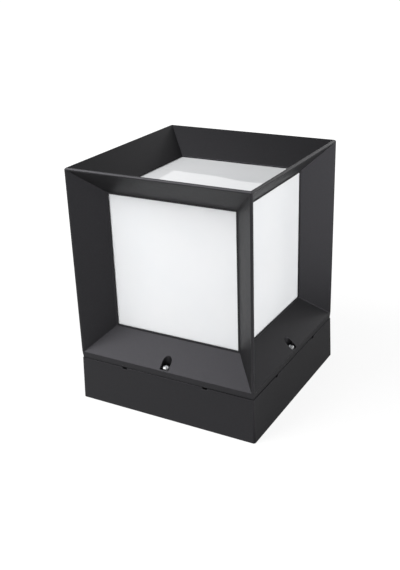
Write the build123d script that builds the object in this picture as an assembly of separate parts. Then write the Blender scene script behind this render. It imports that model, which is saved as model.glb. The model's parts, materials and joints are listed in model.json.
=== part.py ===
from build123d import *
import math
import os

# Square pillar light: a cast lantern with opal windows, screwed to a base that stands on a pillar.
# Millimetres, +Z up, origin at the middle of the underside, front towards -Y.

# Overall sizes
base_width = 200.0            # across the base where it stands
lantern_width = 196.4         # across the lantern, and across the base at the seam
total_height = 248.0
seam_height = 46.5            # joint between base and lantern

# Lantern casting
lip_band = 6.8                # band between the seam and the lower slopes
band_lean = 0.6               # how far the band stands in at the seam
rim_flat = 2.2                # outer edge of each fin
rim_chamfer = 1.3             # bevel of the upper rims
window_margin = 29.2          # outer face to the side edge of a window
window_setback = 26.5         # outer face in to the front of the window lip
sill_rise = 32.5              # seam up to the window sill
head_drop = 29.6              # top edge down to the window head
window_border = 2.0           # flat face of the lip, round a side window
top_margin = 31.2             # outer face to the edge of the top window
top_setback = 25.6            # top edge down to the top window's lip
lip_thickness = 1.2           # lip that the diffuser looks out behind
casting_wall = 3.0

# Screw wells in the lower slopes
screw_inset = 5.8             # outer face to the screw's axis
well_width = 9.4
well_back = 2.0               # the round end's centre lies this far behind the screw
well_end_wall = 1.2           # thin wall left at the outer end
well_floor = 5.4              # metal under the screw head
well_wall = 3.5

# Opal diffuser
diffuser_wall = 3.0
diffuser_corner = 1.5
diffuser_clearance = 0.2
flange_width = 11.7
flange_thickness = 3.0
flange_clearance = 0.3
flange_screw_edge = 2.8       # screw axis to the flange's outer edge
flange_screw_side = 50.0      # screw axis to the middle of its side
flange_boss_diameter = 7.2

# Base casting
base_corner = 2.5
base_wall = 3.0
deck_thickness = 3.0
tray_ledge = 0.3              # the tray's inside stands in from the diffuser's outside
tray_wall = 3.0
floor_gap = 3.0               # floor above the pillar, except at the mounting pads
floor_thickness = 3.0
screw_boss_diameter = 11.0
rib_height = 3.0              # corner ribs that centre the lantern on the deck
rib_thickness = 2.0
rib_length = 25.0
rib_clearance = 0.3
notch_width = 5.0             # weep notches under the seam
notch_height = 1.8
notch_depth = 5.0
notch_offset = 46.0           # notch to the middle of its side
mount_inset = 10.0            # mounting hole to the tray's wall
mount_hole_diameter = 7.0
mount_pad_diameter = 18.0
standoff_height = 4.0
standoff_diameter = 10.0

# Gasket between base and diffuser
gasket_offset = 2.0           # diffuser's outside to the gasket's inner edge
gasket_width = 3.5
gasket_proud = 3.2            # height above the deck
groove_depth = 1.0
groove_clearance = 0.1

# Cable grommet
grommet_bore = 10.0
grommet_neck = 18.0
grommet_flange = 24.0
grommet_lip = 2.5

# Lampholder and its bracket
bracket_width = 25.0
bracket_thickness = 1.5
bracket_rise = 16.0           # foot up to the bridge, outside to outside
bracket_leg = 34.0            # axis to the middle of a leg's strip
bracket_foot = 45.0           # axis to a foot screw
bracket_foot_end = 7.0        # foot screw to the end of the strip
bracket_bend = 2.5            # at the middle of the strip
holder_diameter = 42.0
holder_height = 40.0
holder_base_height = 14.0
holder_mouth_diameter = 38.0
holder_floor = 10.5
holder_screw_offset = 8.0
holder_lead_offset = 8.0
shell_diameter = 28.6
shell_height = 23.5
contact_height = 3.0
contact_diameter = 10.0

# Bulb with an E27 cap
thread_crest = 13.0
thread_root = 12.1
thread_pitch = 3.62
thread_turns = 5
thread_clearance = 0.35       # cap to lampholder shell
cap_wall = 0.8
bulb_gap = 0.3                # bulb tip to the lampholder's contact
tip_diameter = 9.0
tip_height = 2.0
insulator_height = 4.5
housing_height = 32.0
housing_hollow = 1.7          # the flared side stands in from a straight cone
globe_diameter = 60.0
globe_wall = 1.2
globe_seat = 2.5              # the globe's rim stands in from its widest part
globe_waist = 22.0            # rim up to the widest part

# Terminal block
pole_pitch = 10.0
pole_count = 3
block_depth = 20.0
block_height = 16.0
block_offset = 44.0           # axis of the light to the middle of the block
tube_wall = 0.9
tube_inset = 1.0              # tube end to the block's face
terminal_screw_offset = 5.0   # middle of the block to each row of screws
terminal_screw_diameter = 2.6
terminal_well_clearance = 0.3
block_screw_sink = 4.0        # seat of the fixing screws below the top of the block

# Earth point
earth_x = -38.0
earth_y = 27.0                # also the line that the earth lead follows
lug_thickness = 0.8
lug_diameter = 9.0
lug_length = 16.0             # screw axis to the end of the barrel
lug_barrel_length = 7.0
lug_barrel_diameter = 4.4

# Leads
lead_diameter = 2.4
lead_clearance = 0.3          # in the tubes and the lug, on the radius
lead_bend = 6.0
lead_sag = 1.5
lead_grip = 3.0               # length held in a terminal

# Fasteners: shank, head and length
M4 = 4.0
M3 = 3.0
frame_screw_head = 7.0
frame_screw_head_height = 4.0
frame_screw_dome = 1.3        # rounded top of the head
frame_screw_socket = 3.0
frame_screw_socket_depth = 2.0
frame_screw_length = 16.0
washer_diameter = 8.0
washer_thickness = 0.8
hole_clearance = 0.25         # clearance hole, on the radius
thread_fit = 0.05             # tapped hole, on the radius
tip_clearance = 1.0           # tapped hole beyond the screw's tip
bracket_screw_length = 7.0
flange_screw_length = 10.0
holder_screw_length = 8.0
block_screw_grip = 4.0        # length of the fixing screws below the floor's top
terminal_screw_length = 3.5
earth_screw_length = 6.0

# Pan heads, as shares of the shank's diameter
pan_rim_share = 1.0           # radius of the head
pan_height_share = 0.7
pan_top_share = 0.65          # radius of the flat top
pan_side_share = 0.35         # height of the upright side
recess_length_share = 1.2
recess_width_share = 0.25
recess_depth_share = 0.28

# Derived places
base_half = base_width / 2
lantern_half = lantern_width / 2
slope_foot = seam_height + lip_band
window_half = lantern_half - window_margin
window_front = lantern_half - window_setback
window_sill = seam_height + sill_rise
window_head = total_height - head_drop
slope_top = window_sill - window_border
channel_half = lantern_half - band_lean - casting_wall
seat_half = window_front - lip_thickness
top_half = lantern_half - top_margin
top_lip = total_height - top_setback
seat_top = top_lip - lip_thickness
screw_axis = lantern_half - screw_inset
well_bottom = seam_height + well_floor
diffuser_half = seat_half - diffuser_clearance
diffuser_top = seat_top - diffuser_clearance
flange_half = diffuser_half + flange_width
flange_bottom = seam_height + gasket_proud
flange_top = flange_bottom + flange_thickness
flange_screw_axis = flange_half - flange_screw_edge
tray_half = diffuser_half - tray_ledge
tray_outer = tray_half + tray_wall
floor_top = floor_gap + floor_thickness
deck_bottom = seam_height - deck_thickness
mount_axis = tray_half - mount_inset
gasket_inner = diffuser_half + gasket_offset
gasket_outer = gasket_inner + gasket_width
groove_bottom = seam_height - groove_depth
standoff_top = floor_top + standoff_height
bridge_top = standoff_top + bracket_rise
bridge_bottom = bridge_top - bracket_thickness
holder_top = bridge_top + holder_height
holder_seat = bridge_top + holder_floor
bulb_tip = holder_seat + contact_height + bulb_gap
cap_bottom = bulb_tip + tip_height + insulator_height
cap_top = cap_bottom + thread_turns * thread_pitch
housing_top = cap_top + housing_height
globe_radius = globe_diameter / 2
globe_rim = globe_radius - globe_seat
globe_middle = housing_top + globe_waist
block_bottom = floor_top
block_width = pole_count * pole_pitch
pole_height = block_bottom + block_height / 2
block_top = block_bottom + block_height
block_face = block_offset - block_depth / 2
block_screw_seat = block_top - block_screw_sink
block_hole_bottom = floor_top - block_screw_grip - tip_clearance / 2
tube_bore = lead_diameter + 2 * lead_clearance
tube_diameter = tube_bore + 2 * tube_wall
lug_bottom = pole_height - lug_barrel_diameter / 2
lead_top = bridge_top + holder_floor - tip_clearance
draft = math.degrees(math.atan((base_half - lantern_half) / seam_height))


# Shared shapes

def square_block(half, bottom, top, corner=0.0):
    """Block on the axis of the light, square in plan, its upright edges rounded where a corner is given."""
    plan = RectangleRounded(2 * half, 2 * half, corner) if corner else Rectangle(2 * half, 2 * half)
    return Pos(0, 0, bottom) * extrude(plan, amount=top - bottom)


def square_ring(inner, outer, bottom, top):
    """Square ring on the axis of the light."""
    return square_block(outer, bottom, top) - square_block(inner, bottom, top)


def pyramid(bottom_half, bottom, top_half, top):
    """Square block on the axis whose four sides slope."""
    lower = Pos(0, 0, bottom) * Rectangle(2 * bottom_half, 2 * bottom_half)
    upper = Pos(0, 0, top) * Rectangle(2 * top_half, 2 * top_half)
    return loft([lower, upper], ruled=True)


def post(x, y, bottom, top, diameter):
    """Round upright post, or the drill that makes a hole."""
    return Pos(x, y, (bottom + top) / 2) * Cylinder(diameter / 2, top - bottom)


def four_sides(shape):
    """The shape at the front, repeated on the four sides."""
    return [Rot(0, 0, 90 * side) * shape for side in range(4)]


def front_rectangle(half, bottom, top, distance):
    """Upright rectangle that faces the front, at a distance from the axis."""
    return Plane.XZ.offset(distance) * Pos(0, (bottom + top) / 2) * Rectangle(2 * half, top - bottom)


def turned(*lines):
    """Solid of revolution about the axis of the light, from a closed outline in radius and height."""
    return revolve(make_face(Plane.XZ * (Curve() + lines)), Axis.Z)


def pan_screw(diameter, length):
    """Cross-recess pan-head screw, with its head standing on z = 0 and its shank below."""
    shank = diameter / 2
    rim = pan_rim_share * diameter
    top = pan_height_share * diameter
    screw = turned(Polyline((0, top), (0, -length), (shank, -length), (shank, 0), (rim, 0),
                            (rim, pan_side_share * diameter), (pan_top_share * diameter, top), close=True))
    slot = Pos(0, 0, top) * Box(
        recess_length_share * diameter, recess_width_share * diameter, 2 * recess_depth_share * diameter)
    return screw - slot - Rot(0, 0, 90) * slot


def ridges(crest, root, bottom, count):
    """Points of straight-flanked thread ridges, going up from the root at the bottom."""
    quarter = thread_pitch / 4
    points = []
    for turn in range(count):
        start = bottom + turn * thread_pitch
        points += [(root, start + quarter), (crest, start + 2 * quarter)]
        points += [(crest, start + 3 * quarter), (root, start + thread_pitch)]
    return points


def lead(points):
    """Insulated lead along straight runs and tangent arcs."""
    route = FilletPolyline(*points, radius=lead_bend)
    section = Plane(origin=route @ 0, z_dir=route % 0) * Circle(lead_diameter / 2)
    wire = sweep(section, path=route)
    straight = route.length * math.pi * lead_diameter ** 2 / 4
    print(f"lead of {route.length:.1f} mm, volume over section times length {wire.volume / straight:.4f}")
    return wire


def place_pan_screws(diameter, length, places):
    """Equal pan-head screws, standing on the given points."""
    return Compound(children=[Pos(*place) * pan_screw(diameter, length) for place in places])


# Lantern

def lantern_block():
    """Outside of the lantern: a block with bevelled upper rims, on a band that leans in towards the seam."""
    rim_foot = total_height - rim_chamfer
    block = pyramid(lantern_half - band_lean, seam_height, lantern_half, slope_foot)
    block += square_block(lantern_half, slope_foot, rim_foot)
    return block + pyramid(lantern_half, rim_foot, lantern_half - rim_chamfer, total_height)


def lower_channel():
    """Hollow underside of the lantern's lower ring, one wall thickness inside its faces."""
    inner = seat_half + casting_wall
    pitch = (slope_top - slope_foot) / window_setback
    drop = casting_wall * math.hypot(1, pitch)
    shoulder = slope_foot + (lantern_half - channel_half) * pitch - drop
    crown = slope_foot + (lantern_half - inner) * pitch - drop
    hollow = square_block(channel_half, seam_height, shoulder) + pyramid(channel_half, shoulder, inner, crown)
    return hollow - square_block(inner, seam_height, crown)


def flange_screw_places():
    """Axes of the four screws in the diffuser's flange."""
    return [(x, y) for x in (-flange_screw_side, flange_screw_side)
            for y in (-flange_screw_axis, flange_screw_axis)]


def screw_well():
    """Round-ended well at the front, cut down from the slope."""
    round_end = screw_axis - well_back
    outer_end = lantern_half - well_end_wall
    plan = Pos(0, -round_end) * Circle(well_width / 2)
    plan += Pos(0, -(round_end + outer_end) / 2) * Rectangle(well_width, outer_end - round_end)
    return Pos(0, 0, well_bottom) * extrude(plan, amount=window_sill - well_bottom)


def lantern_frame():
    frame = lantern_block()

    # Four window recesses, each a pyramid that ends on the lip, with the window through it
    mouth = front_rectangle(lantern_half - rim_flat, slope_foot, total_height - rim_flat, lantern_half)
    lip = front_rectangle(window_half + window_border, slope_top, window_head + window_border, window_front)
    window = front_rectangle(window_half, window_sill, window_head, window_front)
    recess = loft([mouth, lip], ruled=True) + extrude(window, amount=-2 * lip_thickness)
    frame -= four_sides(recess)

    # Top recess and its window
    frame -= pyramid(top_half, top_lip, lantern_half - rim_flat, total_height)
    frame -= square_block(top_half, seat_top, top_lip)

    # Seat of the diffuser, open below
    frame -= square_block(seat_half, seam_height, seat_top)

    # Hollow lower ring with bosses for the two kinds of screw
    well_half = well_width / 2 + well_wall
    boss_inner = screw_axis - well_back - well_half
    boss_depth = lantern_half - boss_inner
    well_boss = Pos(0, -boss_inner - boss_depth / 2, (seam_height + window_sill) / 2) * Box(
        2 * well_half, boss_depth, window_sill - seam_height)
    flange_bosses = [post(x, y, flange_top, window_sill, flange_boss_diameter)
                     for x, y in flange_screw_places()]
    frame -= lower_channel() - four_sides(well_boss) - flange_bosses
    frame -= square_block(flange_half + flange_clearance, seam_height, flange_top)

    # Screw wells, their holes, and the tapped holes for the diffuser
    hole = post(0, -screw_axis, seam_height, well_bottom, M4 + 2 * hole_clearance)
    frame -= four_sides(screw_well()) + four_sides(hole)
    hole_top = flange_bottom + flange_screw_length + tip_clearance
    return frame - [post(x, y, flange_top, hole_top, M3 + 2 * thread_fit) for x, y in flange_screw_places()]


def diffuser():
    body = square_block(diffuser_half, flange_bottom, diffuser_top)
    body = fillet(body.edges().filter_by(Axis.Z) + body.edges().group_by(Axis.Z)[-1], diffuser_corner)
    body += square_block(flange_half, flange_bottom, flange_top, diffuser_corner)
    body -= square_block(diffuser_half - diffuser_wall, flange_bottom, diffuser_top - diffuser_wall)
    hole = M3 + 2 * hole_clearance
    return body - [post(x, y, flange_bottom, flange_top, hole) for x, y in flange_screw_places()]


def diffuser_screws():
    """Screws that point up through the flange, with their heads below it."""
    upturned = Rot(180, 0, 0) * pan_screw(M3, flange_screw_length)
    return Compound(children=[Pos(x, y, flange_bottom) * upturned for x, y in flange_screw_places()])


def frame_screws():
    """Round-topped socket screws down through the lantern into the base."""
    seat = well_bottom + washer_thickness
    rim = frame_screw_head / 2
    top = frame_screw_head_height
    shoulder = top - frame_screw_dome
    screw = turned(
        Polyline((0, top), (0, -frame_screw_length), (M4 / 2, -frame_screw_length), (M4 / 2, 0), (rim, 0),
                 (rim, shoulder)),
        TangentArc((0, top), (rim, shoulder), tangent=(1, 0)),
    )
    socket = RegularPolygon(frame_screw_socket / 2, 6, major_radius=False)
    screw -= Pos(0, 0, top - frame_screw_socket_depth) * extrude(socket, amount=frame_screw_socket_depth)
    return Compound(children=four_sides(Pos(0, -screw_axis, seat) * screw))


def screw_washers():
    washer = post(0, -screw_axis, well_bottom, well_bottom + washer_thickness, washer_diameter)
    washer -= post(0, -screw_axis, well_bottom, well_bottom + washer_thickness, M4 + 2 * thread_fit)
    return Compound(children=four_sides(washer))


# Base

def skirt(half, height):
    """Drafted square block that stands on the pillar."""
    return extrude(RectangleRounded(2 * half, 2 * half, base_corner), amount=height, taper=draft)


def mount_places():
    return [(x, y) for x in (-mount_axis, mount_axis) for y in (-mount_axis, mount_axis)]


def block_screw_places():
    return [(x, block_offset) for x in (-pole_pitch / 2, pole_pitch / 2)]


def bracket_screw_places():
    return [(x, 0) for x in (-bracket_foot, bracket_foot)]


def centring_ribs():
    """Corner ribs on the deck, just inside the lantern's outer wall."""
    outer = channel_half - rib_clearance
    ring = square_ring(outer - rib_thickness, outer, seam_height, seam_height + rib_height)
    gap = 2 * (outer - rib_length)
    cross = Box(gap, 2 * outer, rib_height) + Box(2 * outer, gap, rib_height)
    return ring - Pos(0, 0, seam_height + rib_height / 2) * cross


def base_housing():
    housing = skirt(base_half, seam_height)
    tray = square_block(tray_outer, floor_gap, deck_bottom)
    housing -= skirt(base_half - base_wall, deck_bottom) - tray
    housing -= square_block(tray_half, floor_top, seam_height)

    # Bosses under the deck, pads under the floor and standoffs on it
    frame_hole_bottom = well_bottom + washer_thickness - frame_screw_length - tip_clearance
    boss = post(0, -screw_axis, frame_hole_bottom - tray_wall, deck_bottom, screw_boss_diameter)
    housing += four_sides(boss)
    housing += [post(x, y, 0, floor_gap, mount_pad_diameter) for x, y in mount_places()]
    housing += [post(x, y, block_hole_bottom - tip_clearance / 2, floor_gap, 2 * M3)
                for x, y in block_screw_places()]
    housing += [post(x, y, floor_top, standoff_top, standoff_diameter) for x, y in bracket_screw_places()]
    housing += post(earth_x, earth_y, floor_top, lug_bottom, standoff_diameter)
    housing += centring_ribs()

    # Gasket groove and weep notches
    housing -= square_ring(gasket_inner - groove_clearance, gasket_outer + groove_clearance,
                           groove_bottom, seam_height)
    notch = Box(notch_width, 2 * notch_depth, notch_height)
    for offset in (-notch_offset, notch_offset):
        housing -= four_sides(Pos(offset, -lantern_half, seam_height - notch_height / 2) * notch)

    # Holes: mounting, cable inlet, and tapped holes
    housing -= [post(x, y, 0, floor_top, mount_hole_diameter) for x, y in mount_places()]
    housing -= post(0, 0, floor_gap, floor_top, grommet_neck)
    tapped = M4 + 2 * thread_fit
    housing -= four_sides(post(0, -screw_axis, frame_hole_bottom, seam_height, tapped))
    bracket_hole = standoff_top + bracket_thickness - bracket_screw_length - tip_clearance
    housing -= [post(x, y, bracket_hole, standoff_top, tapped) for x, y in bracket_screw_places()]
    block_hole = M3 + 2 * thread_fit
    housing -= [post(x, y, block_hole_bottom, floor_top, block_hole) for x, y in block_screw_places()]
    earth_hole = earth_screw_length - lug_thickness + tip_clearance
    return housing - post(earth_x, earth_y, lug_bottom - earth_hole, lug_bottom, tapped)


def base_gasket():
    return square_ring(gasket_inner, gasket_outer, groove_bottom, seam_height + gasket_proud)


def cable_grommet():
    bottom = floor_gap - grommet_lip
    top = floor_top + grommet_lip
    grommet = post(0, 0, bottom, top, grommet_flange) - post(0, 0, bottom, top, grommet_bore)
    waist = post(0, 0, floor_gap, floor_top, grommet_flange) - post(0, 0, floor_gap, floor_top, grommet_neck)
    return grommet - waist


# Lampholder

def lampholder_bracket():
    """Bent strip with two feet and a bridge."""
    foot_end = bracket_foot + bracket_foot_end
    low = standoff_top + bracket_thickness / 2
    high = bridge_top - bracket_thickness / 2
    line = FilletPolyline((-foot_end, low), (-bracket_leg, low), (-bracket_leg, high), (bracket_leg, high),
                          (bracket_leg, low), (foot_end, low), radius=bracket_bend)
    strip = extrude(trace(line, line_width=bracket_thickness), amount=bracket_width / 2, both=True)
    strip = Rot(90, 0, 0) * strip
    strip -= [post(x, y, standoff_top, standoff_top + bracket_thickness, M4 + 2 * hole_clearance)
              for x, y in bracket_screw_places()]
    strip -= [post(x, y, bridge_bottom, bridge_top, M3 + 2 * hole_clearance)
              for x, y in holder_screw_places()]
    return strip - [post(x, 0, bridge_bottom, bridge_top, 2 * lead_diameter)
                    for x in (-holder_lead_offset, holder_lead_offset)]


def bracket_screws():
    seat = standoff_top + bracket_thickness
    return place_pan_screws(M4, bracket_screw_length, [(x, y, seat) for x, y in bracket_screw_places()])


def holder_screw_places():
    return [(0, y) for y in (-holder_screw_offset, holder_screw_offset)]


def lampholder_body():
    """Porcelain holder: a wide base, a round mouth and a bore for the screw shell."""
    base_radius = holder_diameter / 2
    mouth_radius = holder_mouth_diameter / 2
    shoulder = bridge_top + holder_base_height
    step = base_radius - mouth_radius
    body = turned(Polyline((0, bridge_top), (base_radius, bridge_top), (base_radius, shoulder - step),
                           (mouth_radius, shoulder), (mouth_radius, holder_top), (0, holder_top), close=True))
    body -= post(0, 0, holder_seat, holder_top, shell_diameter + 2 * thread_fit)
    screw_depth = holder_screw_length - bracket_thickness + tip_clearance
    body -= [post(x, y, bridge_top, bridge_top + screw_depth, M3 + 2 * thread_fit)
             for x, y in holder_screw_places()]
    return body - [post(x, 0, bridge_top, lead_top, lead_diameter + 2 * thread_fit)
                   for x in (-holder_lead_offset, holder_lead_offset)]


def lampholder_shell():
    """Screw shell of the lampholder, with the ridges of the cap's thread a clearance outside it."""
    bottom = holder_seat
    top = holder_seat + shell_height
    crest = thread_crest + thread_clearance
    root = thread_root + thread_clearance
    turns = int((top - cap_bottom) / thread_pitch)
    ridge_top = cap_bottom + turns * thread_pitch
    outer = shell_diameter / 2
    return turned(Polyline((root, bottom), *ridges(crest, root, cap_bottom, turns), (crest, ridge_top),
                           (crest, top), (outer, top), (outer, bottom), close=True))


def lampholder_contact():
    """Centre contact: a riveted disc with a raised button."""
    radius = contact_diameter / 2
    step = holder_seat + contact_height / 2
    top = holder_seat + contact_height
    return turned(Polyline((0, holder_seat), (radius, holder_seat), (radius, step), (radius / 2, top),
                           (0, top), close=True))


def lampholder_screws():
    """Screws up through the bridge into the lampholder."""
    upturned = Rot(180, 0, 0) * pan_screw(M3, holder_screw_length)
    return Compound(children=[Pos(x, y, bridge_bottom) * upturned for x, y in holder_screw_places()])


# Wiring

def pole_places():
    return [(pole - (pole_count - 1) / 2) * pole_pitch for pole in range(pole_count)]


def across_block(x, length, diameter):
    """Round bar along a pole of the terminal block."""
    return Pos(x, block_offset, pole_height) * Rot(90, 0, 0) * Cylinder(diameter / 2, length)


def terminal_screw_places():
    rows = (block_offset - terminal_screw_offset, block_offset + terminal_screw_offset)
    return [(x, y) for x in pole_places() for y in rows]


def terminal_block():
    """Moulded block with a brass tube for each pole, screws above them and two fixing holes."""
    block = Pos(0, block_offset, pole_height) * Box(block_width, block_depth, block_height)
    block = fillet(block.edges().filter_by(Axis.Z), tube_inset)
    tube_length = block_depth - 2 * tube_inset
    block -= [across_block(x, tube_length, tube_diameter) for x in pole_places()]
    block -= [across_block(x, block_depth, tube_bore) for x in pole_places()]
    well = 2 * (pan_rim_share * terminal_screw_diameter + terminal_well_clearance)
    block -= [post(x, y, pole_height, block_top, well) for x, y in terminal_screw_places()]
    hole = M3 + 2 * hole_clearance
    sink = 2 * pan_rim_share * M3 + 2 * hole_clearance
    block -= [post(x, y, block_bottom, block_screw_seat, hole) for x, y in block_screw_places()]
    return block - [post(x, y, block_screw_seat, block_top, sink) for x, y in block_screw_places()]


def terminal_tubes():
    tube_length = block_depth - 2 * tube_inset
    tapped = [post(x, y, pole_height, block_top, terminal_screw_diameter + 2 * thread_fit)
              for x, y in terminal_screw_places()]
    bores = [across_block(x, tube_length, tube_bore) for x in pole_places()]
    tubes = [across_block(x, tube_length, tube_diameter) for x in pole_places()]
    return Compound(children=[tube - bores - tapped for tube in tubes])


def terminal_screws():
    seat = pole_height + tube_bore / 2 + terminal_screw_length
    places = [(x, y, seat) for x, y in terminal_screw_places()]
    return place_pan_screws(terminal_screw_diameter, terminal_screw_length, places)


def terminal_block_screws():
    length = block_screw_seat - floor_top + block_screw_grip
    return place_pan_screws(M3, length, [(x, y, block_screw_seat) for x, y in block_screw_places()])


def earth_lug():
    """Ring terminal with its barrel towards the terminal block."""
    barrel_start = lug_length - lug_barrel_length
    ring = Circle(lug_diameter / 2) + Pos(barrel_start / 2, 0) * Rectangle(barrel_start, lug_barrel_diameter)
    ring -= Circle(M4 / 2 + hole_clearance)
    barrel = Pos(barrel_start + lug_barrel_length / 2, 0, lug_barrel_diameter / 2) * Rot(0, 90, 0) * (
        Cylinder(lug_barrel_diameter / 2, lug_barrel_length) - Cylinder(lead_diameter / 2 + lead_clearance,
                                                                        lug_barrel_length))
    neck = Pos(barrel_start - lug_thickness / 2, 0, lug_barrel_diameter / 2) * Box(
        lug_thickness, lug_barrel_diameter, lug_barrel_diameter)
    return Pos(earth_x, earth_y, lug_bottom) * (extrude(ring, amount=lug_thickness) + neck + barrel)


def earth_screw():
    return Pos(earth_x, earth_y, lug_bottom + lug_thickness) * pan_screw(M4, earth_screw_length)


def holder_lead(pole_x, holder_x):
    """Lead from a pole of the terminal block, under the bridge and up into the lampholder."""
    start = block_face + lead_grip
    return lead([(pole_x, start, pole_height), (pole_x, block_face - lead_grip, pole_height),
                 (holder_x, 0, pole_height - lead_sag), (holder_x, 0, lead_top)])


def earth_lead():
    pole_x = pole_places()[0]
    return lead([(pole_x, block_face + lead_grip, pole_height), (pole_x, earth_y, pole_height),
                 (earth_x + lug_length - lead_grip, earth_y, pole_height)])


# Bulb

def bulb_contact():
    radius = tip_diameter / 2
    top = bulb_tip + tip_height
    return turned(TangentArc((0, bulb_tip), (radius, top), tangent=(1, 0)),
                  Polyline((radius, top), (0, top), (0, bulb_tip)))


def bulb_insulator():
    """Black cone between the tip and the cap."""
    low = bulb_tip + tip_height
    inner = thread_root - cap_wall
    return turned(Polyline((0, low), (tip_diameter / 2, low), (inner, cap_bottom), (0, cap_bottom),
                           close=True))


def bulb_cap():
    """Screw cap round the housing's plug."""
    inner = thread_root - cap_wall
    return turned(Polyline((inner, cap_bottom), (thread_root, cap_bottom),
                           *ridges(thread_crest, thread_root, cap_bottom, thread_turns),
                           (inner, cap_top), close=True))


def bulb_housing():
    """Plastic body: a plug in the cap and a flared cone that carries the globe."""
    inner = thread_root - cap_wall
    neck = (thread_crest + thread_root) / 2
    neck_top = cap_top + thread_pitch
    return turned(Polyline((globe_rim, housing_top), (0, housing_top), (0, cap_bottom), (inner, cap_bottom),
                           (inner, cap_top), (neck, cap_top), (neck, neck_top)),
                  SagittaArc((neck, neck_top), (globe_rim, housing_top), housing_hollow))


def globe_outline(wall):
    """Outer or inner curve of the globe, from its rim up to its crown."""
    rim = globe_rim - wall
    widest = globe_radius - wall
    crown = globe_middle + widest
    return [TangentArc((widest, globe_middle), (rim, housing_top), tangent=(0, -1)),
            TangentArc((widest, globe_middle), (0, crown), tangent=(0, 1))]


def bulb_globe():
    crown = globe_middle + globe_radius
    return turned(*globe_outline(0), *globe_outline(globe_wall),
                  Line((globe_rim, housing_top), (globe_rim - globe_wall, housing_top)),
                  Line((0, crown), (0, crown - globe_wall)))


# One file for each piece

pieces = {
    "lantern_frame": lantern_frame(),
    "diffuser": diffuser(),
    "diffuser_screws": diffuser_screws(),
    "frame_screws": frame_screws(),
    "screw_washers": screw_washers(),
    "base_housing": base_housing(),
    "base_gasket": base_gasket(),
    "cable_grommet": cable_grommet(),
    "lampholder_bracket": lampholder_bracket(),
    "bracket_screws": bracket_screws(),
    "lampholder_body": lampholder_body(),
    "lampholder_shell": lampholder_shell(),
    "lampholder_contact": lampholder_contact(),
    "lampholder_screws": lampholder_screws(),
    "terminal_block": terminal_block(),
    "terminal_tubes": terminal_tubes(),
    "terminal_screws": terminal_screws(),
    "terminal_block_screws": terminal_block_screws(),
    "earth_screw": earth_screw(),
    "earth_lug": earth_lug(),
    "earth_lead": earth_lead(),
    "neutral_lead": holder_lead(pole_places()[1], -holder_lead_offset),
    "live_lead": holder_lead(pole_places()[2], holder_lead_offset),
    "bulb_contact": bulb_contact(),
    "bulb_insulator": bulb_insulator(),
    "bulb_cap": bulb_cap(),
    "bulb_housing": bulb_housing(),
    "bulb_globe": bulb_globe(),
}

os.makedirs("parts", exist_ok=True)
for name, solid in pieces.items():
    export_step(solid, f"parts/{name}.step")
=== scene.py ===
import json
import math

import bpy
from mathutils import Matrix, Vector


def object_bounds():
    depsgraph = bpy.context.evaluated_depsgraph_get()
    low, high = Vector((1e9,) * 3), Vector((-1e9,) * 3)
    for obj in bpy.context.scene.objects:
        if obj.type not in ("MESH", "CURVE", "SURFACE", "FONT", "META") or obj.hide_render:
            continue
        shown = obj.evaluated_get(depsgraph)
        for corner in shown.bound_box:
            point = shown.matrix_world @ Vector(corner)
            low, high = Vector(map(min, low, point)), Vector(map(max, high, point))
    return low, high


# Looks of a square pillar light: satin black castings round a glossy opal diffuser, on a white ground.
# Metres, +Z up, front towards -Y, as in the frame.

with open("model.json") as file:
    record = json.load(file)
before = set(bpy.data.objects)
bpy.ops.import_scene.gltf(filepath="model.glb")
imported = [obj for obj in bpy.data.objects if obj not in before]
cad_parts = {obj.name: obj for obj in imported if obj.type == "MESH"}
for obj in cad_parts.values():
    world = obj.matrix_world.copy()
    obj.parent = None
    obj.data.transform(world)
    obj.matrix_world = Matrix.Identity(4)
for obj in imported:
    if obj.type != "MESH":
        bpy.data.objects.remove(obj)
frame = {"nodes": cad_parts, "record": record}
nodes = frame["nodes"]
cad_low, cad_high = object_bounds()
scene = bpy.context.scene
scene.view_settings.view_transform = "Standard"

# Camera of the photograph
camera_place = Vector((0.39008, -0.69635, 0.45260))
camera_azimuth = 29.98        # degrees round from the front, towards +X
camera_elevation = 23.39      # degrees that it looks down
camera_roll = -2.04           # degrees about its own axis
camera_lens = 52.437          # mm, on a sensor of 36 mm along the picture's long side

# Edges of the castings
castings = ("lantern_frame", "base_housing")
casting_edge = 0.0004         # how far the rounding of a sharp edge reaches
edge_segments = 3
edge_angle = math.radians(25)   # edges that turn by more than this are sharp
flat_angle = math.radians(0.5)  # faces that turn by less than this are one flat
weld_distance = 1e-6
rim_highlight_depth = 0.0003             # depth over which the painted highlight along the upper rims fades out

# Noise lies mostly between these values, so colour and roughness are spread over them
noise_low = 0.3
noise_high = 0.7

# Place in the noise that the opal sheet's unevenness is taken from, which bends what the top window mirrors
sheet_shift = (-0.808, -0.350, 0.098)

# Yellow stripe of the earth lead, as shares of the lead's thickness
stripe_foot = 0.66
stripe_fade = 0.03

# Light and ground
ground_size = 12.0
ground_drop = 0.0002          # ground below the underside of the base
glow_near = 0.86              # share of white that the ground shows whatever falls on it, beside the object
glow_far = 1.0                # and further off
glow_rise = (0.20, 0.80)      # distances from the object's axis between which it rises
ground_shade = 0.18           # share that takes the object's shadow
ground_bounce = 0.80          # reflectance for the light that it throws back
sky_level = 0.32              # light of the sky on the object

# Sky as the camera and gloss see it, a white sweep under a grey ceiling: sine of the elevation, and level
sky_stops = [(0.30, 1.0), (0.42, 0.45), (0.62, 0.45), (0.85, 0.12)]

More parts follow.
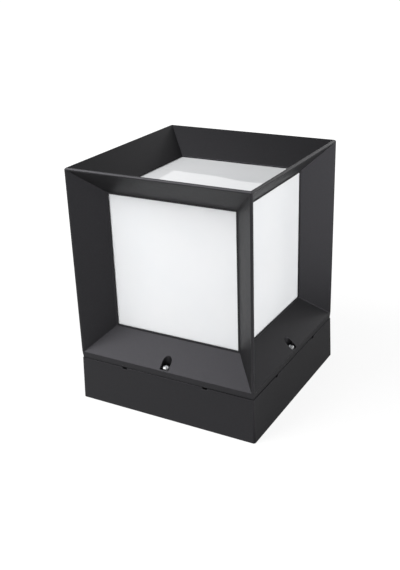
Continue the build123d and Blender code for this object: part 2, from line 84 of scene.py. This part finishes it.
# Cards on the ground at the right, which only gloss shows: the dark one is a painted shadow of the object
# on the ground, and the white one a painted reflection that lights nothing. x and y of their corners,
# reflectance and glow
cards = {
    # Painted shadow: dark card where the object's shadow falls, seen only in gloss
    "painted_shadow_card": dict(
        corners=[(0.10, -0.13), (0.38, 0.15), (0.60, 0.40), (0.60, 1.00), (0.10, 1.00)],
        grey=0.18, glow=0.16),
    # Painted reflection: glowing card seen only in gloss, which lights nothing
    "painted_reflection_card": dict(
        corners=[(0.22, -0.06), (0.34, -0.20), (1.80, -0.90), (1.80, 0.30), (0.90, 0.30), (0.40, 0.14)],
        grey=0.20, glow=2.7),
}

# Softboxes round the object: azimuth from the front towards +X, and the other angles, in degrees
softbox_distance = 1.4
softbox_aim = Vector((0.0, 0.0, 0.12))
softboxes = {
    "key": dict(azimuth=-40, elevation=43, wide=44, high=28, radiance=8.0),
    "left": dict(azimuth=-75, elevation=33, wide=26, high=28, radiance=0.9),
    "right": dict(azimuth=92, elevation=11, wide=45, high=22, radiance=6.5),
    "back": dict(azimuth=178, elevation=14, wide=34, high=16, radiance=1.8),
}


# Camera, light and ground

def neutral(level):
    """Grey of this level, as colour sockets take it."""
    return (level, level, level, 1)


def add_camera():
    camera = bpy.data.objects.new("camera", bpy.data.cameras.new("camera"))
    camera.data.lens = camera_lens
    turn = Matrix.Rotation(math.radians(camera_azimuth), 4, "Z")
    tilt = Matrix.Rotation(math.radians(90 - camera_elevation), 4, "X")
    roll = Matrix.Rotation(math.radians(camera_roll), 4, "Z")
    camera.matrix_world = Matrix.Translation(camera_place) @ turn @ tilt @ roll
    scene.collection.objects.link(camera)
    scene.camera = camera


def seen_ray(tree):
    """1 for rays from the camera, from gloss and through glass, and 0 for those that only carry light."""
    path = tree.nodes.new("ShaderNodeLightPath")
    total = path.outputs["Is Camera Ray"]
    for kind in ("Is Glossy Ray", "Is Transmission Ray"):
        larger = tree.nodes.new("ShaderNodeMath")
        larger.operation = "MAXIMUM"
        tree.links.new(total, larger.inputs[0])
        tree.links.new(path.outputs[kind], larger.inputs[1])
        total = larger.outputs[0]
    return total


def add_sky():
    """Sky that is seen as a sweep and a ceiling, and lights the object evenly."""
    world = bpy.data.worlds.new("sky")
    world.use_nodes = True
    tree = world.node_tree
    shown = tree.nodes["Background"]
    shown.inputs["Color"].default_value = neutral(1)
    place = tree.nodes.new("ShaderNodeTexCoord")
    parts = tree.nodes.new("ShaderNodeSeparateXYZ")
    fall = tree.nodes.new("ShaderNodeValToRGB")
    stops = fall.color_ramp.elements
    for height, _ in sky_stops[1:-1]:
        stops.new(height)
    for stop, (height, level) in zip(stops, sky_stops):
        stop.position = height
        stop.color = neutral(level)
    tree.links.new(place.outputs["Generated"], parts.inputs["Vector"])
    tree.links.new(parts.outputs["Z"], fall.inputs["Fac"])
    tree.links.new(fall.outputs["Color"], shown.inputs["Strength"])
    light = tree.nodes.new("ShaderNodeBackground")
    light.inputs["Color"].default_value = neutral(1)
    light.inputs["Strength"].default_value = sky_level
    mix = tree.nodes.new("ShaderNodeMixShader")
    tree.links.new(seen_ray(tree), mix.inputs[0])
    tree.links.new(light.outputs[0], mix.inputs[1])
    tree.links.new(shown.outputs[0], mix.inputs[2])
    tree.links.new(mix.outputs[0], tree.nodes["World Output"].inputs["Surface"])
    scene.world = world


def ground_finish():
    """White ground that keeps the object's soft shadow."""
    material = bpy.data.materials.new("white_ground")
    material.use_nodes = True
    tree = material.node_tree
    tree.nodes.remove(tree.nodes["Principled BSDF"])
    place = tree.nodes.new("ShaderNodeTexCoord")
    away = tree.nodes.new("ShaderNodeVectorMath")
    away.operation = "LENGTH"
    rise = tree.nodes.new("ShaderNodeMapRange")
    rise.inputs["From Min"].default_value, rise.inputs["From Max"].default_value = glow_rise
    rise.inputs["To Min"].default_value = glow_near
    rise.inputs["To Max"].default_value = glow_far
    glow = tree.nodes.new("ShaderNodeEmission")
    tree.links.new(place.outputs["Object"], away.inputs[0])
    tree.links.new(away.outputs["Value"], rise.inputs["Value"])
    tree.links.new(rise.outputs["Result"], glow.inputs["Strength"])
    shade = tree.nodes.new("ShaderNodeBsdfDiffuse")
    shade.inputs["Color"].default_value = neutral(ground_shade)
    bounce = tree.nodes.new("ShaderNodeBsdfDiffuse")
    bounce.inputs["Color"].default_value = neutral(ground_bounce)
    both = tree.nodes.new("ShaderNodeAddShader")
    mix = tree.nodes.new("ShaderNodeMixShader")
    tree.links.new(glow.outputs[0], both.inputs[0])
    tree.links.new(shade.outputs[0], both.inputs[1])
    tree.links.new(seen_ray(tree), mix.inputs[0])
    tree.links.new(bounce.outputs[0], mix.inputs[1])
    tree.links.new(both.outputs[0], mix.inputs[2])
    tree.links.new(mix.outputs[0], tree.nodes["Material Output"].inputs["Surface"])
    return material


def add_flat(name, corners, height, material):
    """Level face on the stage, with these corners."""
    mesh = bpy.data.meshes.new(name)
    mesh.from_pydata([(x, y, height) for x, y in corners], [], [tuple(range(len(corners)))])
    mesh.materials.append(material)
    flat = bpy.data.objects.new(name, mesh)
    scene.collection.objects.link(flat)
    return flat


def add_ground():
    half = ground_size / 2
    corners = [(-half, -half), (half, -half), (half, half), (-half, half)]
    add_flat("ground", corners, cad_low.z - ground_drop, ground_finish())


def add_card(name, corners, grey, glow):
    """Card half way between the ground and the underside of the object, which only gloss shows: a painted
    shadow when it is dark, and a painted reflection when it glows.
    """
    material = finish(name, Base_Color=neutral(grey), Specular_IOR_Level=0.0,
                      Emission_Color=neutral(1), Emission_Strength=glow)
    card = add_flat(name, corners, cad_low.z - ground_drop / 2, material)
    card.visible_camera = False
    card.visible_diffuse = False
    card.visible_transmission = False
    card.visible_shadow = False


def add_softbox(name, azimuth, elevation, wide, high, radiance):
    """Lamp that shows this wide and high from the object, with the power that gives it its radiance."""
    turn = math.radians(azimuth)
    rise = math.radians(elevation)
    towards = Vector((math.sin(turn) * math.cos(rise), -math.cos(turn) * math.cos(rise), math.sin(rise)))
    lamp = bpy.data.lights.new(name, "AREA")
    lamp.shape = "RECTANGLE"
    lamp.size = 2 * softbox_distance * math.tan(math.radians(wide / 2))
    lamp.size_y = 2 * softbox_distance * math.tan(math.radians(high / 2))
    lamp.energy = radiance * math.pi * lamp.size * lamp.size_y
    box = bpy.data.objects.new(name, lamp)
    box.rotation_mode = "QUATERNION"
    box.rotation_quaternion = (-towards).to_track_quat("-Z", "Y")
    box.location = softbox_aim + softbox_distance * towards
    scene.collection.objects.link(box)


# Layers of a material

def finish(name, **even):
    """New material. What is the same all over is set on the shader, by socket name with _ for a space."""
    material = bpy.data.materials.new(name)
    material.use_nodes = True
    shader = material.node_tree.nodes["Principled BSDF"]
    for socket, value in even.items():
        shader.inputs[socket.replace("_", " ")].default_value = value
    return material


def grain(material, size, detail, shift=(0, 0, 0)):
    """Noise whose spots are about this size, in the frame's metres."""
    tree = material.node_tree
    place = tree.nodes.new("ShaderNodeTexCoord")
    move = tree.nodes.new("ShaderNodeMapping")
    move.inputs["Location"].default_value = shift
    noise = tree.nodes.new("ShaderNodeTexNoise")
    noise.inputs["Scale"].default_value = 1 / size
    noise.inputs["Detail"].default_value = detail
    tree.links.new(place.outputs["Object"], move.inputs["Vector"])
    tree.links.new(move.outputs["Vector"], noise.inputs["Vector"])
    return noise.outputs["Fac"]


def height_share(material, node):
    """0 at the lowest point of the node and 1 at its highest."""
    heights = [vertex.co.z for vertex in node.data.vertices]
    tree = material.node_tree
    place = tree.nodes.new("ShaderNodeTexCoord")
    parts = tree.nodes.new("ShaderNodeSeparateXYZ")
    share = tree.nodes.new("ShaderNodeMapRange")
    share.inputs["From Min"].default_value = min(heights)
    share.inputs["From Max"].default_value = max(heights)
    tree.links.new(place.outputs["Object"], parts.inputs["Vector"])
    tree.links.new(parts.outputs["Z"], share.inputs["Value"])
    return share.outputs["Result"]


def rim_highlight_share(material, node):
    """Mask of the painted highlight: 1 along the bevelled upper rims of the lantern, which lie furthest up
    and out, and 0 elsewhere.
    """
    points = [vertex.co for vertex in node.data.vertices]
    outermost = max(max(abs(point.x), abs(point.y)) + point.z for point in points)
    tree = material.node_tree
    place = tree.nodes.new("ShaderNodeTexCoord")
    size = tree.nodes.new("ShaderNodeVectorMath")
    size.operation = "ABSOLUTE"
    parts = tree.nodes.new("ShaderNodeSeparateXYZ")
    out = tree.nodes.new("ShaderNodeMath")
    out.operation = "MAXIMUM"
    up_and_out = tree.nodes.new("ShaderNodeMath")
    up_and_out.operation = "ADD"
    share = tree.nodes.new("ShaderNodeMapRange")
    share.inputs["From Min"].default_value = outermost - rim_highlight_depth
    share.inputs["From Max"].default_value = outermost
    tree.links.new(place.outputs["Object"], size.inputs[0])
    tree.links.new(size.outputs["Vector"], parts.inputs["Vector"])
    tree.links.new(parts.outputs["X"], out.inputs[0])
    tree.links.new(parts.outputs["Y"], out.inputs[1])
    tree.links.new(out.outputs[0], up_and_out.inputs[0])
    tree.links.new(parts.outputs["Z"], up_and_out.inputs[1])
    tree.links.new(up_and_out.outputs[0], share.inputs["Value"])
    return share.outputs["Result"]


def vary_colour(material, pattern, dark, light, start=noise_low, end=noise_high):
    """Colour that goes from dark to light where the pattern goes from start to end."""
    tree = material.node_tree
    ramp = tree.nodes.new("ShaderNodeValToRGB")
    ramp.color_ramp.elements[0].position = start
    ramp.color_ramp.elements[0].color = (*dark, 1)
    ramp.color_ramp.elements[1].position = end
    ramp.color_ramp.elements[1].color = (*light, 1)
    tree.links.new(pattern, ramp.inputs["Fac"])
    tree.links.new(ramp.outputs["Color"], tree.nodes["Principled BSDF"].inputs["Base Color"])


def paint_highlight(material, share, colour):
    """Mixes a painted highlight colour into the one that the material has so far."""
    tree = material.node_tree
    base = tree.nodes["Principled BSDF"].inputs["Base Color"]
    mix = tree.nodes.new("ShaderNodeMixRGB")
    mix.inputs["Color2"].default_value = (*colour, 1)
    tree.links.new(share, mix.inputs["Fac"])
    tree.links.new(base.links[0].from_socket, mix.inputs["Color1"])
    tree.links.new(mix.outputs["Color"], base)


def vary_roughness(material, pattern, low, high):
    tree = material.node_tree
    spread = tree.nodes.new("ShaderNodeMapRange")
    spread.inputs["From Min"].default_value = noise_low
    spread.inputs["From Max"].default_value = noise_high
    spread.inputs["To Min"].default_value = low
    spread.inputs["To Max"].default_value = high
    tree.links.new(pattern, spread.inputs["Value"])
    tree.links.new(spread.outputs["Result"], tree.nodes["Principled BSDF"].inputs["Roughness"])


def raise_relief(material, pattern, depth):
    """Bump of this depth, in metres."""
    tree = material.node_tree
    bump = tree.nodes.new("ShaderNodeBump")
    bump.inputs["Distance"].default_value = depth
    tree.links.new(pattern, bump.inputs["Height"])
    tree.links.new(bump.outputs["Normal"], tree.nodes["Principled BSDF"].inputs["Normal"])


# Materials

def black_coat():
    """Satin powder coat with a fine orange peel, and a painted highlight that makes it a little lighter
    along the upper rims.
    """
    material = finish("black_coat", Specular_IOR_Level=0.27, Specular_Tint=(0.93, 0.91, 1.0, 1.0))
    vary_colour(material, grain(material, size=0.0015, detail=4),
                dark=(0.0065, 0.0065, 0.0070), light=(0.0095, 0.0095, 0.0100))
    # Painted highlight: the upper rims are painted lighter, standing in for the light that their rounded
    # edges catch.
    paint_highlight(material, rim_highlight_share(material, nodes["lantern_frame"]), colour=(0.042, 0.042, 0.044))
    vary_roughness(material, grain(material, size=0.003, detail=3), low=0.435, high=0.465)
    raise_relief(material, grain(material, size=0.0006, detail=1), depth=0.00001)
    return material


def opal_acrylic():
    """Glossy opal sheet, a little uneven as moulded."""
    material = finish("opal_acrylic", IOR=1.49, Specular_IOR_Level=0.36)
    vary_colour(material, grain(material, size=0.05, detail=2),
                dark=(0.80, 0.813, 0.830), light=(0.82, 0.828, 0.840))
    vary_roughness(material, grain(material, size=0.02, detail=3), low=0.010, high=0.024)
    raise_relief(material, grain(material, size=0.06, detail=0, shift=sheet_shift), depth=0.0009)
    return material


def stainless():
    material = finish("stainless", Metallic=1.0)
    vary_colour(material, grain(material, size=0.0008, detail=3),
                dark=(0.70, 0.71, 0.72), light=(0.80, 0.81, 0.82))
    vary_roughness(material, grain(material, size=0.0005, detail=3), low=0.34, high=0.46)
    raise_relief(material, grain(material, size=0.0003, detail=2), depth=0.000006)
    return material


def zinc_plate():
    material = finish("zinc_plate", Metallic=1.0)
    vary_colour(material, grain(material, size=0.004, detail=4),
                dark=(0.55, 0.57, 0.60), light=(0.66, 0.67, 0.66))
    vary_roughness(material, grain(material, size=0.002, detail=4), low=0.28, high=0.45)
    raise_relief(material, grain(material, size=0.0005, detail=2), depth=0.000008)
    return material


def silicone():
    material = finish("silicone")
    vary_colour(material, grain(material, size=0.003, detail=4),
                dark=(0.29, 0.29, 0.30), light=(0.34, 0.34, 0.35))
    vary_roughness(material, grain(material, size=0.002, detail=3), low=0.55, high=0.75)
    raise_relief(material, grain(material, size=0.0008, detail=3), depth=0.00002)
    return material


def black_rubber():
    material = finish("black_rubber")
    vary_colour(material, grain(material, size=0.002, detail=4),
                dark=(0.022, 0.022, 0.022), light=(0.035, 0.035, 0.034))
    vary_roughness(material, grain(material, size=0.002, detail=3), low=0.5, high=0.7)
    raise_relief(material, grain(material, size=0.0006, detail=3), depth=0.00002)
    return material


def porcelain():
    material = finish("porcelain", Coat_Weight=0.6, Coat_Roughness=0.08)
    vary_colour(material, grain(material, size=0.003, detail=5),
                dark=(0.80, 0.785, 0.75), light=(0.84, 0.83, 0.80))
    vary_roughness(material, grain(material, size=0.004, detail=3), low=0.18, high=0.32)
    raise_relief(material, grain(material, size=0.003, detail=2), depth=0.00004)
    return material


def brass():
    material = finish("brass", Metallic=1.0)
    vary_colour(material, grain(material, size=0.003, detail=5),
                dark=(0.66, 0.47, 0.21), light=(0.80, 0.62, 0.32))
    vary_roughness(material, grain(material, size=0.0015, detail=4), low=0.22, high=0.40)
    raise_relief(material, grain(material, size=0.0005, detail=2), depth=0.000008)
    return material


def tinned_copper():
    material = finish("tinned_copper", Metallic=1.0)
    vary_colour(material, grain(material, size=0.002, detail=4),
                dark=(0.62, 0.60, 0.56), light=(0.74, 0.73, 0.71))
    vary_roughness(material, grain(material, size=0.001, detail=3), low=0.25, high=0.42)
    raise_relief(material, grain(material, size=0.0005, detail=2), depth=0.00001)
    return material


def block_nylon():
    material = finish("block_nylon", Subsurface_Weight=0.2, Subsurface_Scale=0.002)
    vary_colour(material, grain(material, size=0.004, detail=3),
                dark=(0.77, 0.76, 0.70), light=(0.82, 0.81, 0.76))
    vary_roughness(material, grain(material, size=0.001, detail=3), low=0.42, high=0.58)
    raise_relief(material, grain(material, size=0.0006, detail=3), depth=0.00002)
    return material


def lead_sleeve(name):
    """Soft PVC sleeve of a lead, still without its colour."""
    material = finish(name)
    vary_roughness(material, grain(material, size=0.002, detail=3), low=0.32, high=0.46)
    raise_relief(material, grain(material, size=0.001, detail=2), depth=0.00002)
    return material


def plain_sleeve(name, dark, light):
    material = lead_sleeve(name)
    vary_colour(material, grain(material, size=0.003, detail=3), dark, light)
    return material


def earth_sleeve():
    """Green sleeve with a yellow stripe along the top of the lead, which lies level."""
    material = lead_sleeve("lead_green")
    vary_colour(material, height_share(material, nodes["earth_lead"]),
                dark=(0.08, 0.38, 0.10), light=(0.72, 0.58, 0.03),
                start=stripe_foot, end=stripe_foot + stripe_fade)
    return material


def cap_metal():
    material = finish("cap_metal", Metallic=1.0)
    vary_colour(material, grain(material, size=0.003, detail=4),
                dark=(0.68, 0.67, 0.63), light=(0.78, 0.77, 0.74))
    vary_roughness(material, grain(material, size=0.001, detail=4), low=0.24, high=0.38)
    raise_relief(material, grain(material, size=0.0005, detail=2), depth=0.000008)
    return material


def cap_glass():
    material = finish("cap_glass")
    vary_colour(material, grain(material, size=0.003, detail=3),
                dark=(0.012, 0.012, 0.014), light=(0.024, 0.024, 0.026))
    vary_roughness(material, grain(material, size=0.002, detail=3), low=0.06, high=0.14)
    raise_relief(material, grain(material, size=0.002, detail=1), depth=0.00002)
    return material


def bulb_plastic():
    material = finish("bulb_plastic")
    vary_colour(material, grain(material, size=0.01, detail=3),
                dark=(0.80, 0.80, 0.79), light=(0.84, 0.84, 0.83))
    vary_roughness(material, grain(material, size=0.003, detail=3), low=0.34, high=0.46)
    raise_relief(material, grain(material, size=0.0008, detail=3), depth=0.000015)
    return material


def bulb_opal():
    material = finish("bulb_opal", Subsurface_Weight=0.3, Subsurface_Scale=0.004)
    vary_colour(material, grain(material, size=0.02, detail=2),
                dark=(0.86, 0.86, 0.84), light=(0.89, 0.89, 0.87))
    vary_roughness(material, grain(material, size=0.004, detail=3), low=0.30, high=0.42)
    raise_relief(material, grain(material, size=0.001, detail=2), depth=0.00001)
    return material


def make_finishes():
    """A finish for each material slot of the record."""
    return {
        "black_coat": black_coat(),
        "opal_acrylic": opal_acrylic(),
        "stainless": stainless(),
        "zinc_plate": zinc_plate(),
        "silicone": silicone(),
        "black_rubber": black_rubber(),
        "porcelain": porcelain(),
        "brass": brass(),
        "tinned_copper": tinned_copper(),
        "block_nylon": block_nylon(),
        "lead_brown": plain_sleeve("lead_brown", dark=(0.18, 0.075, 0.035), light=(0.24, 0.11, 0.055)),
        "lead_blue": plain_sleeve("lead_blue", dark=(0.04, 0.14, 0.46), light=(0.06, 0.18, 0.54)),
        "lead_green": earth_sleeve(),
        "cap_metal": cap_metal(),
        "cap_glass": cap_glass(),
        "bulb_plastic": bulb_plastic(),
        "bulb_opal": bulb_opal(),
    }


# Dressing of the pieces

def round_edges(node):
    """Rounds the sharp edges of a casting by modifiers alone, after its faces are joined up into flats."""
    weld = node.modifiers.new("weld", "WELD")
    weld.merge_threshold = weld_distance
    flats = node.modifiers.new("flats", "DECIMATE")
    flats.decimate_type = "DISSOLVE"
    flats.angle_limit = flat_angle
    edges = node.modifiers.new("edges", "BEVEL")
    edges.width = casting_edge
    edges.segments = edge_segments
    edges.limit_method = "ANGLE"
    edges.angle_limit = edge_angle
    edges.use_clamp_overlap = False
    node.modifiers.new("shading", "WEIGHTED_NORMAL")


def dress_nodes():
    finishes = make_finishes()
    for row in frame["record"]["subparts"]:
        nodes[row["node"]].data.materials[0] = finishes[row["material_slot"]]
    for name in castings:
        round_edges(nodes[name])


add_camera()
add_sky()
add_ground()
for name, card in cards.items():
    add_card(name, **card)
for name, box in softboxes.items():
    add_softbox(name, **box)
dress_nodes()
